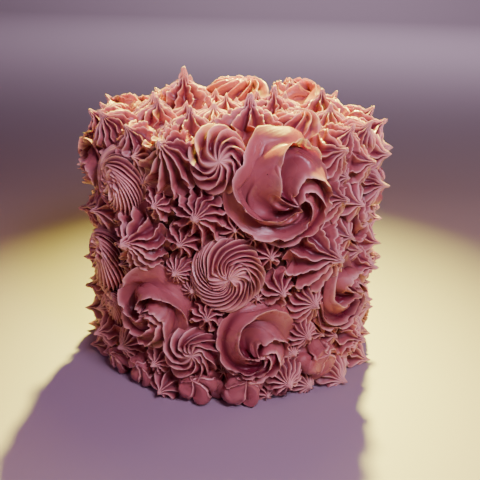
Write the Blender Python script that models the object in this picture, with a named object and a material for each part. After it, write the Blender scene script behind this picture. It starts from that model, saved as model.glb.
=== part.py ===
"""A tall round layer cake, covered all over with piped chocolate buttercream.

The cake stands on z = 0 with its axis on Z, and its front faces -Y. The iced cake is one solid with
its small drops and its rim of drops fused on. Each larger rosette, ruffle or star is its own solid.
Every piped piece is one surface: a cone whose slant runs from the foot of the piece to its tip, and
whose ridges, twist and peak are worked out from the piping tip that made it.
"""

import math
import random

import bmesh
import bpy
import numpy as np

MM = 0.001

# The cake under the piping: three layers from a 6 inch pan, filled and crumb coated.
CAKE_RADIUS = 80.0 * MM
CAKE_HEIGHT = 147.0 * MM
CAKE_SHOULDER = 14.0 * MM
CAKE_SIDES = 34
SHOULDER_STEPS = 2

# Pieces piped high on the side lean back over the shoulder, along an arc of this radius.
LEAN_START = 130.0 * MM
LEAN_RADIUS = 40.0 * MM

# Spaces between neighbours, under a piece and over the board.
SIDE_GAP = 0.4 * MM
FOOT_GAP = 0.45 * MM
BOARD_GAP = 0.5 * MM
FUSE_DEPTH = 2.5 * MM
# The rise of a foot's middle, as a share of the square of its radius over the cake's.
HOLLOW = 0.3
# Two neighbours meet at a flat plane between their middles, taken this far above the cake.
MEETING_LIFT = 6.0 * MM
# A piece may spread this much past its own width where it has room.
SPREAD = 1.25
# On the flat top, where nothing pulls them down, all but the low ones stand this much taller.
TOP_STRETCH = 1.3
LOW_TOPS = ("small_star", "star_drop")
# Pieces at least this wide, away from the rim, are solids of their own.
OWN_SOLID_WIDTH = 23.0 * MM

SEED = 11

# What each piping tip leaves. Profiles run from the foot to the tip, as shares of radius and height.
DROP_PROFILE = (
    (0.92, 0.0), (1.0, 0.16), (0.98, 0.38), (0.84, 0.62), (0.54, 0.80), (0.19, 0.93), (0.0, 1.16),
)
SWIRL_PROFILE = (
    (0.92, 0.0), (1.0, 0.24), (0.97, 0.54), (0.80, 0.84), (0.54, 0.98), (0.30, 0.95), (0.0, 0.92),
)
ROSE_PROFILE = (
    (0.92, 0.0), (1.02, 0.26), (0.99, 0.60), (0.83, 0.90), (0.58, 1.0), (0.33, 0.92), (0.0, 0.90),
)
TIPS = {
    "wide_ruffle": {
        "profile": ROSE_PROFILE, "ridges": 4, "height": 0.74, "most_height": 20 * MM, "depth": 0.45,
        "twist": 1.65, "curl": 0.1, "wobble": 0.04, "steps": 4, "bands": 5,
    },
    "ruffle_rose": {
        "profile": ROSE_PROFILE, "ridges": 6, "height": 0.80, "most_height": 19 * MM, "depth": 0.72,
        "twist": 1.6, "curl": 0.35, "wobble": 0.05, "steps": 3, "bands": 4,
    },
    "fine_swirl": {
        "profile": SWIRL_PROFILE, "ridges": 19, "height": 0.72, "most_height": 15 * MM, "depth": 0.85,
        "twist": 1.5, "curl": 0.1, "wobble": 0.02, "steps": 2, "bands": 3,
    },
    "open_swirl": {
        "profile": SWIRL_PROFILE, "ridges": 9, "height": 0.92, "most_height": 15 * MM, "depth": 0.80,
        "twist": 1.2, "curl": 0.15, "wobble": 0.04, "steps": 2, "bands": 3,
    },
    "wavy_star": {
        "profile": DROP_PROFILE, "ridges": 9, "height": 0.98, "most_height": 17 * MM, "depth": 0.92,
        "twist": 0.15, "curl": 0.0, "wobble": 0.16, "steps": 2, "bands": 3,
    },
    "star_drop": {
        "profile": DROP_PROFILE, "ridges": 6, "height": 1.2, "most_height": 17 * MM, "depth": 0.85,
        "twist": 0.2, "curl": 0.0, "wobble": 0.07, "steps": 2, "bands": 2,
    },
    "petal_drop": {
        "profile": ROSE_PROFILE, "ridges": 4, "height": 1.1, "most_height": 15 * MM, "depth": 0.62,
        "twist": 0.7, "curl": 0.25, "wobble": 0.05, "steps": 3, "bands": 3,
    },
    "small_star": {
        "profile": DROP_PROFILE, "ridges": 6, "height": 1.15, "most_height": 14 * MM, "depth": 0.8,
        "twist": 0.15, "curl": 0.0, "wobble": 0.06, "steps": 2, "bands": 1,
    },
}

# The side of the cake that faces front: tip, degrees to the right of front, height and width in mm.
# Then, for some, where the tip of the piece lies as shares of its radius to the right and up, and
# for a few how many degrees the ridges are turned.
FRONT_SIDE = (
    ("wide_ruffle", 15, 129, 56, 0.25, -0.2, 80), ("wide_ruffle", -30, 57, 45, -0.1, -0.15, 40),
    ("wide_ruffle", 10, 40, 44, 0.0, -0.25, 20),
    ("wide_ruffle", 46, 61, 44, 0.3, 0.0, 60), ("wide_ruffle", -72, 124, 36), ("ruffle_rose", 61, 98, 27),
    ("fine_swirl", -2, 82, 40, 0.08, -0.05), ("fine_swirl", -48, 122, 36, -0.2, 0.1),
    ("fine_swirl", -60, 72, 38, 0.1, 0.5),
    ("open_swirl", -6, 142, 31, 0.1, -0.05), ("open_swirl", -14, 31, 33, 0.1, 0.2),
    ("fine_swirl", -58, 43, 24, 0.2, 0.3),
    ("wavy_star", -37, 94, 36, -0.05, 0.0), ("wavy_star", 32, 88, 37, 0.3, 0.1),
    ("wavy_star", -12, 113, 28, 0.0, 0.15),
    ("wavy_star", -24, 138, 31, 0.0, 0.5), ("wavy_star", 57, 25, 27), ("star_drop", 38, 141, 22, 0.2, 0.2),
    ("star_drop", 37, 118, 22, 0.3, 0.3), ("star_drop", 67, 117, 22), ("star_drop", 55, 134, 20),
    ("star_drop", -28, 117, 18), ("star_drop", 30, 59, 22), ("star_drop", 18, 72, 19),
    ("star_drop", -18, 99, 18), ("star_drop", -20, 81, 16), ("star_drop", 13, 92, 17),
    ("star_drop", -9, 56, 19), ("star_drop", 29, 41, 18), ("star_drop", 65, 67, 21),
    ("star_drop", -79, 43, 20), ("star_drop", -45, 25, 20), ("star_drop", -28, 22, 18),
    ("star_drop", -61, 23, 21), ("star_drop", 22, 15, 23), ("petal_drop", -38, 9, 20, 0.1, 0.75),
    ("petal_drop", -12, 9, 25, -0.1, 0.75), ("petal_drop", 5, 10, 25, 0.1, 0.75),
    ("petal_drop", 37, 20, 24, 0.1, 0.6),
    ("star_drop", -83, 91, 22), ("star_drop", 71, 42, 19), ("petal_drop", -53, 7, 18, 0.0, 0.7),
)
# The rim where it faces front: tip, degrees and width in mm.
FRONT_RIM = (
    ("star_drop", -80, 24), ("star_drop", -62, 24), ("star_drop", -45, 21), ("star_drop", 49, 21),
    ("star_drop", 65, 22), ("star_drop", 81, 24),
)
# The top: tip, degrees and distance from the middle in mm, and width in mm. Then, for some, how much
# taller it is.
TOP = (
    ("open_swirl", 180, 56, 41), ("ruffle_rose", 139, 57, 37), ("star_drop", 96, 55, 31),
    ("open_swirl", 36, 57, 28), ("wavy_star", 6, 54, 33), ("star_drop", -25, 58, 25),
    ("star_drop", -56, 55, 24), ("star_drop", -90, 50, 24), ("wavy_star", -104, 34, 28, 1.35),
    ("star_drop", 147, 26, 22), ("star_drop", -148, 58, 27), ("star_drop", -121, 54, 22),
    ("wavy_star", 60, 27, 30), ("star_drop", 70, 58, 22),
)
# What the hidden side holds: tip, how many, and the least and most width in mm.
BACK_SIDE = (
    ("wide_ruffle", 2, 44, 52), ("ruffle_rose", 3, 34, 44), ("fine_swirl", 4, 34, 40),
    ("open_swirl", 5, 28, 34), ("wavy_star", 7, 27, 35), ("petal_drop", 4, 23, 26),
    ("small_star", 28, 18, 22),
)
FRONT_HALF_ANGLE = math.radians(78)
# The rim behind takes drops of about this width, and small drops close the holes that stay.
RIM_WIDTH = 22.0 * MM
RIM_RADIUS = CAKE_RADIUS - 2.0 * MM
TOP_LIMIT = 60.0 * MM
SMALL_LEAST = 7.6 * MM
SMALL_MOST = 11.2 * MM
SIDE_LOW = 4.0 * MM
SIDE_HIGH = 138.0 * MM
MID_RADIUS = CAKE_RADIUS + 8.0 * MM
PACKING = 0.90
SMALL_PACKING = 1.12
TRIES = 500

BUTTERCREAM = (0.30, 0.115, 0.088)
BUTTERCREAM_ROUGHNESS = 0.42
CRUMB_COAT = (0.20, 0.065, 0.050)


class Piece:
    """One squeeze of the piping bag: where it sits, its size, and how it varies from its fellows."""

    def __init__(self, number, tip, zone, angle, along, radius, tip_at=()):
        draw = random.Random(SEED * 1000 + number)
        self.tip = tip
        self.zone = zone
        self.angle = angle
        self.along = along
        self.radius = radius
        self.style = TIPS[tip]
        self.turn = draw.uniform(0, math.tau)
        self.twist = self.style["twist"] * draw.uniform(0.85, 1.15)
        self.height = min(self.style["height"] * radius, self.style["most_height"])
        self.height *= draw.uniform(0.9, 1.1)
        if zone == "top" and tip not in LOW_TOPS:
            self.height *= TOP_STRETCH
        self.lean_x = radius * draw.uniform(-0.16, 0.16)
        self.lean_y = radius * draw.uniform(-0.10, 0.20)
        if tip_at:
            self.lean_x, self.lean_y = radius * tip_at[0], radius * tip_at[1]
        self.wave_turn = draw.uniform(0, math.tau)
        self.wave_count = draw.uniform(1.1, 1.9)
        self.uneven = [draw.uniform(0.02, 0.07) for _ in range(3)]
        self.uneven_turn = [draw.uniform(0, math.tau) for _ in range(3)]
        self.tilt = draw.uniform(35, 52)
        if len(tip_at) > 2:
            self.turn = math.radians(tip_at[2])

    def own_solid(self):
        return self.zone != "rim" and 2 * self.radius >= OWN_SOLID_WIDTH - 0.1 * MM

    def place(self, x, y, w):
        """World points for arrays of x to the right, y up or inward, and w out from the cake."""
        if self.zone == "side":
            rise = self.along + y
            lean = np.clip((rise - LEAN_START) / LEAN_RADIUS, 0, None)
            out = CAKE_RADIUS + w - (LEAN_RADIUS + w) * (1 - np.cos(lean))
            up = np.where(lean > 0, LEAN_START + (LEAN_RADIUS + w) * np.sin(lean), rise)
            turn = self.angle + x / MID_RADIUS
            return np.stack([out * np.sin(turn), -out * np.cos(turn), up], axis=-1)
        sine, cosine = math.sin(self.angle), math.cos(self.angle)
        outward = np.array([sine, -cosine, 0.0])
        across = np.array([cosine, sine, 0.0])
        upward = np.array([0.0, 0.0, 1.0])
        if self.zone == "top":
            middle = outward * self.along + upward * CAKE_HEIGHT
            normal, inward = upward, -outward
        else:
            tilt = math.radians(self.tilt)
            normal = outward * math.cos(tilt) + upward * math.sin(tilt)
            inward = upward * math.cos(tilt) - outward * math.sin(tilt)
            centre = outward * (CAKE_RADIUS - CAKE_SHOULDER) + upward * (CAKE_HEIGHT - CAKE_SHOULDER)
            middle = centre + normal * CAKE_SHOULDER
        x, y, w = (np.asarray(v, float)[..., None] for v in (x, y, w))
        return middle + x * across + y * inward + w * normal

    def middle(self):
        return self.place(np.array(0.0), np.array(0.0), np.array(MEETING_LIFT))


def smooth_profile(points, share):
    """Radius and height shares along a smooth curve through the profile's points."""
    points = np.array(points)
    last = len(points) - 1
    ends = np.vstack([2 * points[0] - points[1], points, 2 * points[-1] - points[-2]])
    spot = np.clip(share, 0, 1) * last
    index = np.minimum(spot.astype(int), last - 1)
    t = (spot - index)[:, None]
    a, b, c, d = (ends[index + k] for k in range(4))
    bend = (2 * a - 5 * b + 4 * c - d) * t**2 + (3 * b - a - 3 * c + d) * t**3
    curve = b + 0.5 * ((c - a) * t + bend)
    return curve[:, 0], curve[:, 1]


def icing_surface(piece, share, around, foot):
    """Local x, y, w of the points that lie share of the way to the tip, at the angle around.

    Also gives the same points with the valleys filled, which is how far the ridges reach."""
    style = piece.style
    radius_share, height_share = smooth_profile(style["profile"], share)
    step = 0.01
    r_up, w_up = smooth_profile(style["profile"], np.clip(share + step, 0, 1))
    r_down, w_down = smooth_profile(style["profile"], np.clip(share - step, 0, 1))
    run = (r_up - r_down) * piece.radius
    rise = (w_up - w_down) * piece.height
    length = np.hypot(run, rise)
    out_r, out_w = rise / length, -run / length

    valley = np.abs(np.sin(style["ridges"] * (around - math.pi / 2) / 2))
    depth = style["depth"] * math.pi * piece.radius / style["ridges"]
    depth = depth * (0.55 + 0.45 * np.minimum(share / 0.2, 1)) * np.clip(radius_share, 0.03, 1)
    uneven = sum(
        size * np.sin((k + 1) * around + turn)
        for k, (size, turn) in enumerate(zip(piece.uneven, piece.uneven_turn))
    )
    reach = piece.radius * radius_share * (1 + uneven) * SPREAD
    fade = 1 - share
    half_ridge = math.pi / style["ridges"]
    swing = (
        piece.turn + around
        - piece.twist * fade
        + style["wobble"] * fade * np.sin(math.tau * piece.wave_count * fade + piece.wave_turn)
        - style["curl"] * half_ridge * (1 - valley) * np.sin(math.pi * np.clip(share * 1.15, 0, 1))
    )
    blend = 1 - np.clip(radius_share, 0, 1)
    shift_x, shift_y = piece.lean_x * blend, piece.lean_y * blend
    height = foot + (piece.height - foot) * height_share

    def spot(sink):
        distance = np.maximum(reach - out_r * sink, 0)
        w = np.maximum(height - out_w * sink, foot)
        return distance * np.cos(swing) + shift_x, distance * np.sin(swing) + shift_y, w

    return spot(depth * valley), spot(np.zeros_like(depth))


def held_back(piece, planes, x, y, w):
    """How much of x and y each point keeps so that it stays on this piece's side of every plane."""
    keep = np.ones_like(x)
    for normal, limit in planes:
        low, high = np.zeros_like(x), keep.copy()
        outside = piece.place(x * keep, y * keep, w) @ normal > limit
        for _ in range(18):
            half = (low + high) / 2
            beyond = piece.place(x * half, y * half, w) @ normal > limit
            high = np.where(beyond, half, high)
            low = np.where(beyond, low, half)
        keep = np.where(outside, low, keep)
    return keep


def meeting_planes(piece, pieces, gap):
    """The planes that part this piece from its neighbours and from the board."""
    planes = [(np.array([0.0, 0.0, -1.0]), -BOARD_GAP)] if piece.zone == "side" else []
    here = piece.middle()
    for other in pieces:
        if other is piece:
            continue
        way = other.middle() - here
        distance = float(np.linalg.norm(way))
        if distance < 1.5 * (piece.radius + other.radius) + 4 * MM:
            normal = way / distance
            share = piece.radius / (piece.radius + other.radius)
            planes.append((normal, float(normal @ here) + distance * share - gap / 2))
    return planes


def flat_distance(angle, along, other):
    """How far a spot on the unrolled side lies from the middle of another piece."""
    turn = (angle - other.angle + math.pi) % math.tau - math.pi
    level = other.along if other.zone == "side" else CAKE_HEIGHT + 5 * MM
    return np.hypot(turn * MID_RADIUS, along - level)


def top_distance(x, y, other):
    radius = other.along if other.zone == "top" else RIM_RADIUS
    return np.hypot(x - radius * math.sin(other.angle), y + radius * math.cos(other.angle))


def free_reach(angle, along, others):
    """The room at a spot on the side, out to the nearest piece's edge."""
    return np.min([flat_distance(angle, along, p) - PACKING * p.radius for p in others], axis=0)


def add(pieces, tip, zone, angle, along, radius, tip_at=()):
    pieces.append(Piece(len(pieces), tip, zone, angle, along, radius, tip_at))


def add_shown(pieces):
    for tip, degrees, height, width, *tip_at in FRONT_SIDE:
        add(pieces, tip, "side", math.radians(degrees), height * MM, width / 2 * MM, tip_at)
    for tip, degrees, width in FRONT_RIM:
        add(pieces, tip, "rim", math.radians(degrees), RIM_RADIUS, width / 2 * MM)
    for tip, degrees, distance, width, *taller in TOP:
        add(pieces, tip, "top", math.radians(degrees), distance * MM, width / 2 * MM)
        for more in taller:
            pieces[-1].height *= more


def add_back_rim(pieces):
    """Drops spaced evenly along the rim from one end of the shown stretch to the other."""
    start, end = math.radians(FRONT_RIM[-1][1]), math.radians(FRONT_RIM[0][1]) + math.tau
    count = round((end - start) * (RIM_RADIUS + 7 * MM) / RIM_WIDTH)
    for k in range(1, count):
        width = RIM_WIDTH * (1.0 + 0.12 * math.sin(2.4 * k))
        add(pieces, "star_drop", "rim", start + (end - start) * k / count, RIM_RADIUS, width / 2)


def add_back_side(pieces):
    """The hidden side, largest pieces first, each where it fits best among random spots."""
    draw = random.Random(SEED)
    for tip, count, least, most in BACK_SIDE:
        spread_out = tip in ("wide_ruffle", "ruffle_rose", "fine_swirl")
        for _ in range(count):
            radius = draw.uniform(least, most) / 2 * MM
            turns = [draw.uniform(FRONT_HALF_ANGLE, math.tau - FRONT_HALF_ANGLE) for _ in range(TRIES)]
            angles = np.array(turns)
            levels = np.array([draw.uniform(0.8 * radius, SIDE_HIGH) for _ in range(TRIES)])
            reach = free_reach(angles, levels, [p for p in pieces if p.zone != "top"])
            fits = reach >= PACKING * radius
            if fits.any():
                score = np.where(fits, reach if spread_out else -reach, -1)
                best = int(np.argmax(score))
                add(pieces, tip, "side", float(angles[best]), float(levels[best]), radius)


def add_small_sides(pieces):
    """Small stars in the widest holes that are left on the side, until no hole is wide enough."""
    angles, levels = np.meshgrid(
        np.radians(np.arange(0, 360, 2.5)), np.linspace(SIDE_LOW, SIDE_HIGH, 48)
    )
    while True:
        reach = free_reach(angles, levels, [p for p in pieces if p.zone != "top"])
        spot = np.unravel_index(int(np.argmax(reach)), reach.shape)
        if reach[spot] * SMALL_PACKING < SMALL_LEAST:
            return
        radius = min(float(reach[spot]) * SMALL_PACKING, SMALL_MOST)
        add(pieces, "small_star", "side", float(angles[spot]), float(levels[spot]), radius)


def add_small_tops(pieces):
    """Stars in the holes that are left on the top."""
    line = np.linspace(-TOP_LIMIT, TOP_LIMIT, 60)
    x, y = np.meshgrid(line, line)
    inside = np.hypot(x, y) <= TOP_LIMIT
    while True:
        others = [p for p in pieces if p.zone != "side"]
        reach = np.min([top_distance(x, y, p) - PACKING * p.radius for p in others], axis=0)
        reach = np.where(inside, reach, 0)
        spot = np.unravel_index(int(np.argmax(reach)), reach.shape)
        if reach[spot] * SMALL_PACKING < SMALL_LEAST:
            return
        radius = min(float(reach[spot]) * SMALL_PACKING, SMALL_MOST)
        angle = math.atan2(float(x[spot]), -float(y[spot]))
        add(pieces, "small_star", "top", angle, float(np.hypot(x[spot], y[spot])), radius)


def all_pieces():
    pieces = []
    add_shown(pieces)
    add_back_rim(pieces)
    add_back_side(pieces)
    add_small_sides(pieces)
    add_small_tops(pieces)
    return pieces


def piped_mesh(name, piece, pieces):
    """The closed mesh of one piped piece, from a cone cut into bands."""
    style = piece.style
    foot = FOOT_GAP if piece.own_solid() else -FUSE_DEPTH
    bm = bmesh.new()
    bmesh.ops.create_cone(
        bm, cap_ends=True, segments=style["ridges"] * style["steps"], radius1=1, radius2=0.5, depth=1
    )
    slant = [e for e in bm.edges if e.verts[0].co.z * e.verts[1].co.z < 0]
    bmesh.ops.subdivide_edges(bm, edges=slant, cuts=style["bands"] - 1)
    cone = np.array([v.co for v in bm.verts])
    share, around = cone[:, 2] + 0.5, np.arctan2(cone[:, 1], cone[:, 0])
    (x, y, w), filled = icing_surface(piece, share, around, foot)
    planes = meeting_planes(piece, pieces, SIDE_GAP)
    keep = held_back(piece, planes, *filled)
    x, y = x * keep, y * keep
    keep = held_back(piece, planes, x, y, w)
    for vert, spot in zip(bm.verts, piece.place(x * keep, y * keep, w)):
        vert.co = spot
    bm.verts.ensure_lookup_table()
    tip_ring = [v for v, s in zip(bm.verts, share) if s > 0.999]
    foot_face = next(f for f in bm.faces if all(share[v.index] < 0.001 for v in f.verts))
    hollow = bmesh.ops.poke(bm, faces=[foot_face])["verts"][0]
    # The foot is hollowed a little, so that its flat facets clear the round cake.
    rise = foot + (HOLLOW * piece.radius**2 / CAKE_RADIUS if piece.zone == "side" else 0)
    hollow.co = piece.place(np.array(0.0), np.array(0.0), np.array(rise))
    peak = piece.place(x[share > 0.999].mean(), y[share > 0.999].mean(), w[share > 0.999].max())
    bmesh.ops.pointmerge(bm, verts=tip_ring, merge_co=peak)
    bmesh.ops.triangulate(bm, faces=bm.faces[:], quad_method="SHORT_EDGE")
    mesh = bpy.data.meshes.new(name)
    bm.to_mesh(mesh)
    bm.free()
    return mesh


def add_object(name, mesh, material, collection):
    obj = bpy.data.objects.new(name, mesh)
    mesh.materials.append(material)
    mesh.shade_smooth()
    mesh.set_sharp_from_angle(angle=math.radians(40))
    collection.objects.link(obj)
    return obj


def icing_material(name, colour, roughness):
    material = bpy.data.materials.new(name)
    material.use_nodes = True
    shader = material.node_tree.nodes["Principled BSDF"]
    shader.inputs["Base Color"].default_value = (*colour, 1)
    shader.inputs["Roughness"].default_value = roughness
    shader.inputs["Metallic"].default_value = 0
    return material


def add_cake(material, collection):
    """The crumb coated cake: a cylinder with a rounded shoulder and a flat foot."""
    bpy.ops.mesh.primitive_cylinder_add(
        vertices=CAKE_SIDES, radius=CAKE_RADIUS, depth=CAKE_HEIGHT, location=(0, 0, CAKE_HEIGHT / 2)
    )
    cake = bpy.context.object
    cake.name = "iced_cake"
    cake.data.name = "iced_cake"
    for owner in cake.users_collection:
        owner.objects.unlink(cake)
    collection.objects.link(cake)
    bm = bmesh.new()
    bm.from_mesh(cake.data)
    upper = [e for e in bm.edges if all(v.co.z > 0 for v in e.verts)]
    bmesh.ops.bevel(
        bm, geom=upper, offset=CAKE_SHOULDER, segments=SHOULDER_STEPS, profile=0.5, affect="EDGES",
        material=-1,
    )
    bm.to_mesh(cake.data)
    bm.free()
    cake.data.materials.append(material)
    return cake


def fuse(cake, drops):
    """Joins the small drops to the cake in one union, and removes the loose ones."""
    union = cake.modifiers.new("fuse_drops", "BOOLEAN")
    union.operation = "UNION"
    union.operand_type = "COLLECTION"
    union.collection = drops
    union.solver = "EXACT"
    bpy.context.view_layer.objects.active = cake
    bpy.ops.object.modifier_apply(modifier=union.name)
    for drop in list(drops.objects):
        bpy.data.objects.remove(drop)
    bpy.data.collections.remove(drops)


def main():
    for obj in list(bpy.data.objects):
        bpy.data.objects.remove(obj)
    cake_parts = bpy.data.collections.new("layer_cake")
    drops = bpy.data.collections.new("small_drops")
    for collection in (cake_parts, drops):
        bpy.context.scene.collection.children.link(collection)
    buttercream = icing_material("buttercream", BUTTERCREAM, BUTTERCREAM_ROUGHNESS)
    crumb_coat = icing_material("crumb_coat", CRUMB_COAT, BUTTERCREAM_ROUGHNESS)

    cake = add_cake(crumb_coat, cake_parts)
    pieces = all_pieces()
    counts = {}
    for number, piece in enumerate(pieces):
        if piece.own_solid():
            counts[piece.tip] = counts.get(piece.tip, 0) + 1
            name = f"{piece.tip}_{counts[piece.tip]:02d}"
            add_object(name, piped_mesh(name, piece, pieces), buttercream, cake_parts)
        else:
            name = f"drop_{number:03d}"
            add_object(name, piped_mesh(name, piece, pieces), buttercream, drops)
    fuse(cake, drops)
    cake.data.shade_smooth()
    cake.data.set_sharp_from_angle(angle=math.radians(40))


main()
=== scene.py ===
"""The looks of a tall round layer cake, covered all over with piped chocolate buttercream.

The layout of the piped pieces is the one that their solids were made from. Each solid rosette,
ruffle or star is replaced by a fine one in its place, and the cake with its small drops by a crumb
coated cake and fine drops. Every piped piece is one surface: a cone whose slant runs from the foot
of the piece to its tip, and whose ridges, twist and peak come from the piping tip that made it.
"""

import math
import random

import bmesh
import bpy
import numpy as np
from mathutils import Matrix, Vector


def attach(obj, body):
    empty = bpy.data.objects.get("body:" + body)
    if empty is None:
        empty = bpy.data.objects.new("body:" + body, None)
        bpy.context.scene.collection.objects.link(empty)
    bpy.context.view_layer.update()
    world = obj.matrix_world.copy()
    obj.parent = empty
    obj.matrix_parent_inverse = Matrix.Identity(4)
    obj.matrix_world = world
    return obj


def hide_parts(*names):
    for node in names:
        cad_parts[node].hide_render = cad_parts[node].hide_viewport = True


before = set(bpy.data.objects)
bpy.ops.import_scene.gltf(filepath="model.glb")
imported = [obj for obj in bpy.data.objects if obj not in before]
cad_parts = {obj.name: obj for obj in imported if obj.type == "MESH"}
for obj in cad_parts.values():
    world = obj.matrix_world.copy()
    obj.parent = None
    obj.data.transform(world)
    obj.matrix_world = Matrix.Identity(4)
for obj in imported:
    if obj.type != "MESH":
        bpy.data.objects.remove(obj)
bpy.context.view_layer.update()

MM = 0.001
SEED = 11

# The cake under the piping, as its solid is.
CAKE_RADIUS = 80.0 * MM
CAKE_HEIGHT = 147.0 * MM
CAKE_SHOULDER = 14.0 * MM
CAKE_SIDES = 144
SHOULDER_STEPS = 8

# Pieces on the side are spread out at MID_RADIUS, halfway through the piping. The ones piped high
# up lean back over the shoulder, along an arc.
MID_RADIUS = CAKE_RADIUS + 8.0 * MM
LEAN_START = 130.0 * MM
LEAN_RADIUS = 40.0 * MM

# Soft neighbours are pressed this far into each other, and every foot this far into the cake. The
# lowest pieces stay this far above z = 0.
PRESSED_IN = 2.4 * MM
FOOT_DEPTH = 1.5 * MM
FLOOR_GAP = 0.2 * MM
# Two pieces meet between points this high above their feet, nearer to the smaller one. Pieces further
# apart than their radii, stretched and with some room, don't meet.
MEETING_LIFT = 6.0 * MM
MEETING_STRETCH = 1.5
MEETING_ROOM = 4.0 * MM
HALVINGS = 14

# Pieces at least this wide have a solid of their own, apart from those on the rim.
OWN_SOLID_WIDTH = 23.0 * MM
# On the top, where nothing pulls them down, all but the low kinds stand taller.
TOP_STRETCH = 1.3
LOW_TOPS = ("small_star", "star_drop")
# All petal drops are turned about this far.
PETAL_TURN = math.radians(100)

# How much one squeeze of the bag differs from the next, least and most: factors, leans and uneven
# edges as shares of the radius, waves from foot to tip, and the tilt on the rim in degrees.
TWIST_VARIES = (0.85, 1.15)
HEIGHT_VARIES = (0.9, 1.1)
LEAN_SIDEWAYS = (-0.16, 0.16)
LEAN_UPWARDS = (-0.10, 0.20)
WOBBLES = (1.1, 1.9)
UNEVEN = (0.02, 0.07)
RIM_TILT = (35, 52)

# Waves of the crests between foot and tip: slow ones that all ridges of a piece share, quick ones
# that every ridge has for itself, and jagged ones where the thin edge is torn.
SLOW_WAVES = (1.5, 2.7)
SLOW_SHARE = 0.6
RIDGE_LAG = (0.9 / math.tau, 1.6 / math.tau)
QUICK_WAVES = (5.3, 9.1)
JAGGED_WAVES = (6.7, 11.3)
RIPPLE_LENGTH = 6.5 * MM
# Depths as shares of the ridges' spacing: torn spots, buckled ridges and ridges that stay low.
TORN_FROM = 0.4
TORN_DEPTH = 0.05
BUCKLE_DEPTH = 0.08
MOST_BUCKLE = 0.6
LOW_DEPTH = 0.16
# The thin edge on a crest: its width, and how much of it is torn off.
LIP_WIDTH = 0.55 * MM
LIP_TORN = 1.3
LIP_TORN_FROM = 0.2
# The crumpled middle, as shares of the way to the tip, and its depth as a share of the radius.
KNOT_START = 0.62
KNOT_RISE = 0.25
KNOT_END = 0.05
KNOT_DEPTH = 0.10
EVEN_FOLDS = 1.2
# The eye of a swirl is drawn out sideways, over this share of the radius.
EYE_WIDTH = 0.3
# The thin edge of a petal lies this far from one groove to the next.
PETAL_EDGE = 0.36
# How much points crowd towards the crests, how far single ridges reach out, and soft unevenness.
CROWDING = 0.75
RIDGE_REACH = 0.05
LUMP = 0.15 * MM
# The painted highlight on a crest fades over this distance, and valleys wider than this get less painted
# shade.
CREST_HIGHLIGHT_FADE = 0.5 * MM
NARROW_VALLEY = 9.0 * MM

# Profiles run from the foot to the tip, as shares of radius and height. Their slope is taken over
# this share of the way on either side.
PROFILE_STEP = 0.01
DROP_PROFILE = (
    (0.92, 0.0), (1.0, 0.16), (0.98, 0.38), (0.84, 0.62), (0.54, 0.80), (0.17, 0.94), (0.0, 1.28),
)
SWIRL_PROFILE = (
    (0.92, 0.0), (1.0, 0.24), (0.97, 0.54), (0.80, 0.84), (0.54, 0.98), (0.30, 0.95), (0.0, 0.92),
)
ROSE_PROFILE = (
    (0.92, 0.0), (1.02, 0.26), (0.99, 0.60), (0.83, 0.90), (0.58, 1.0), (0.33, 0.92), (0.0, 0.90),
)

# What each piping tip leaves.
# height: as a share of the radius, up to most_height. spread: growth where there is room.
# ridges: how many. steps: faces across each. bands: faces from foot to tip.
# depth: of the valleys, as a share of half the ridges' spacing, and foot_depth its share at the
# foot. deepens: where between foot and tip it gets its full depth. valley_at: where the valley lies
# between two crests. flank: under 1 for steep flanks. lobed: round ridges with sharp grooves.
# crest_edge: how round a crest is. lip: height of the thin edge on it. ripple: its small waves.
# tear: how torn it is. painted highlight: how much painted sheen lies on the rest of the ridge.
# twist: in radians from foot to tip. roll: how far crests lean in. wobble: waves of the whole piece.
# buckle: waves of single ridges. bunch: how far ridges crowd to one side. low_ridges: how much lower
# single ridges are. knot: how crumpled the middle is. eye: how far it is drawn out.
ANY_TIP = {
    "valley_at": 0.5, "flank": 0.75, "lobed": False, "crest_edge": 0.06, "painted_highlight": 0.35, "roll": 0.0,
    "bunch": 0.12, "low_ridges": 0.15, "knot": 0.2, "eye": 0.0,
}
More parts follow.
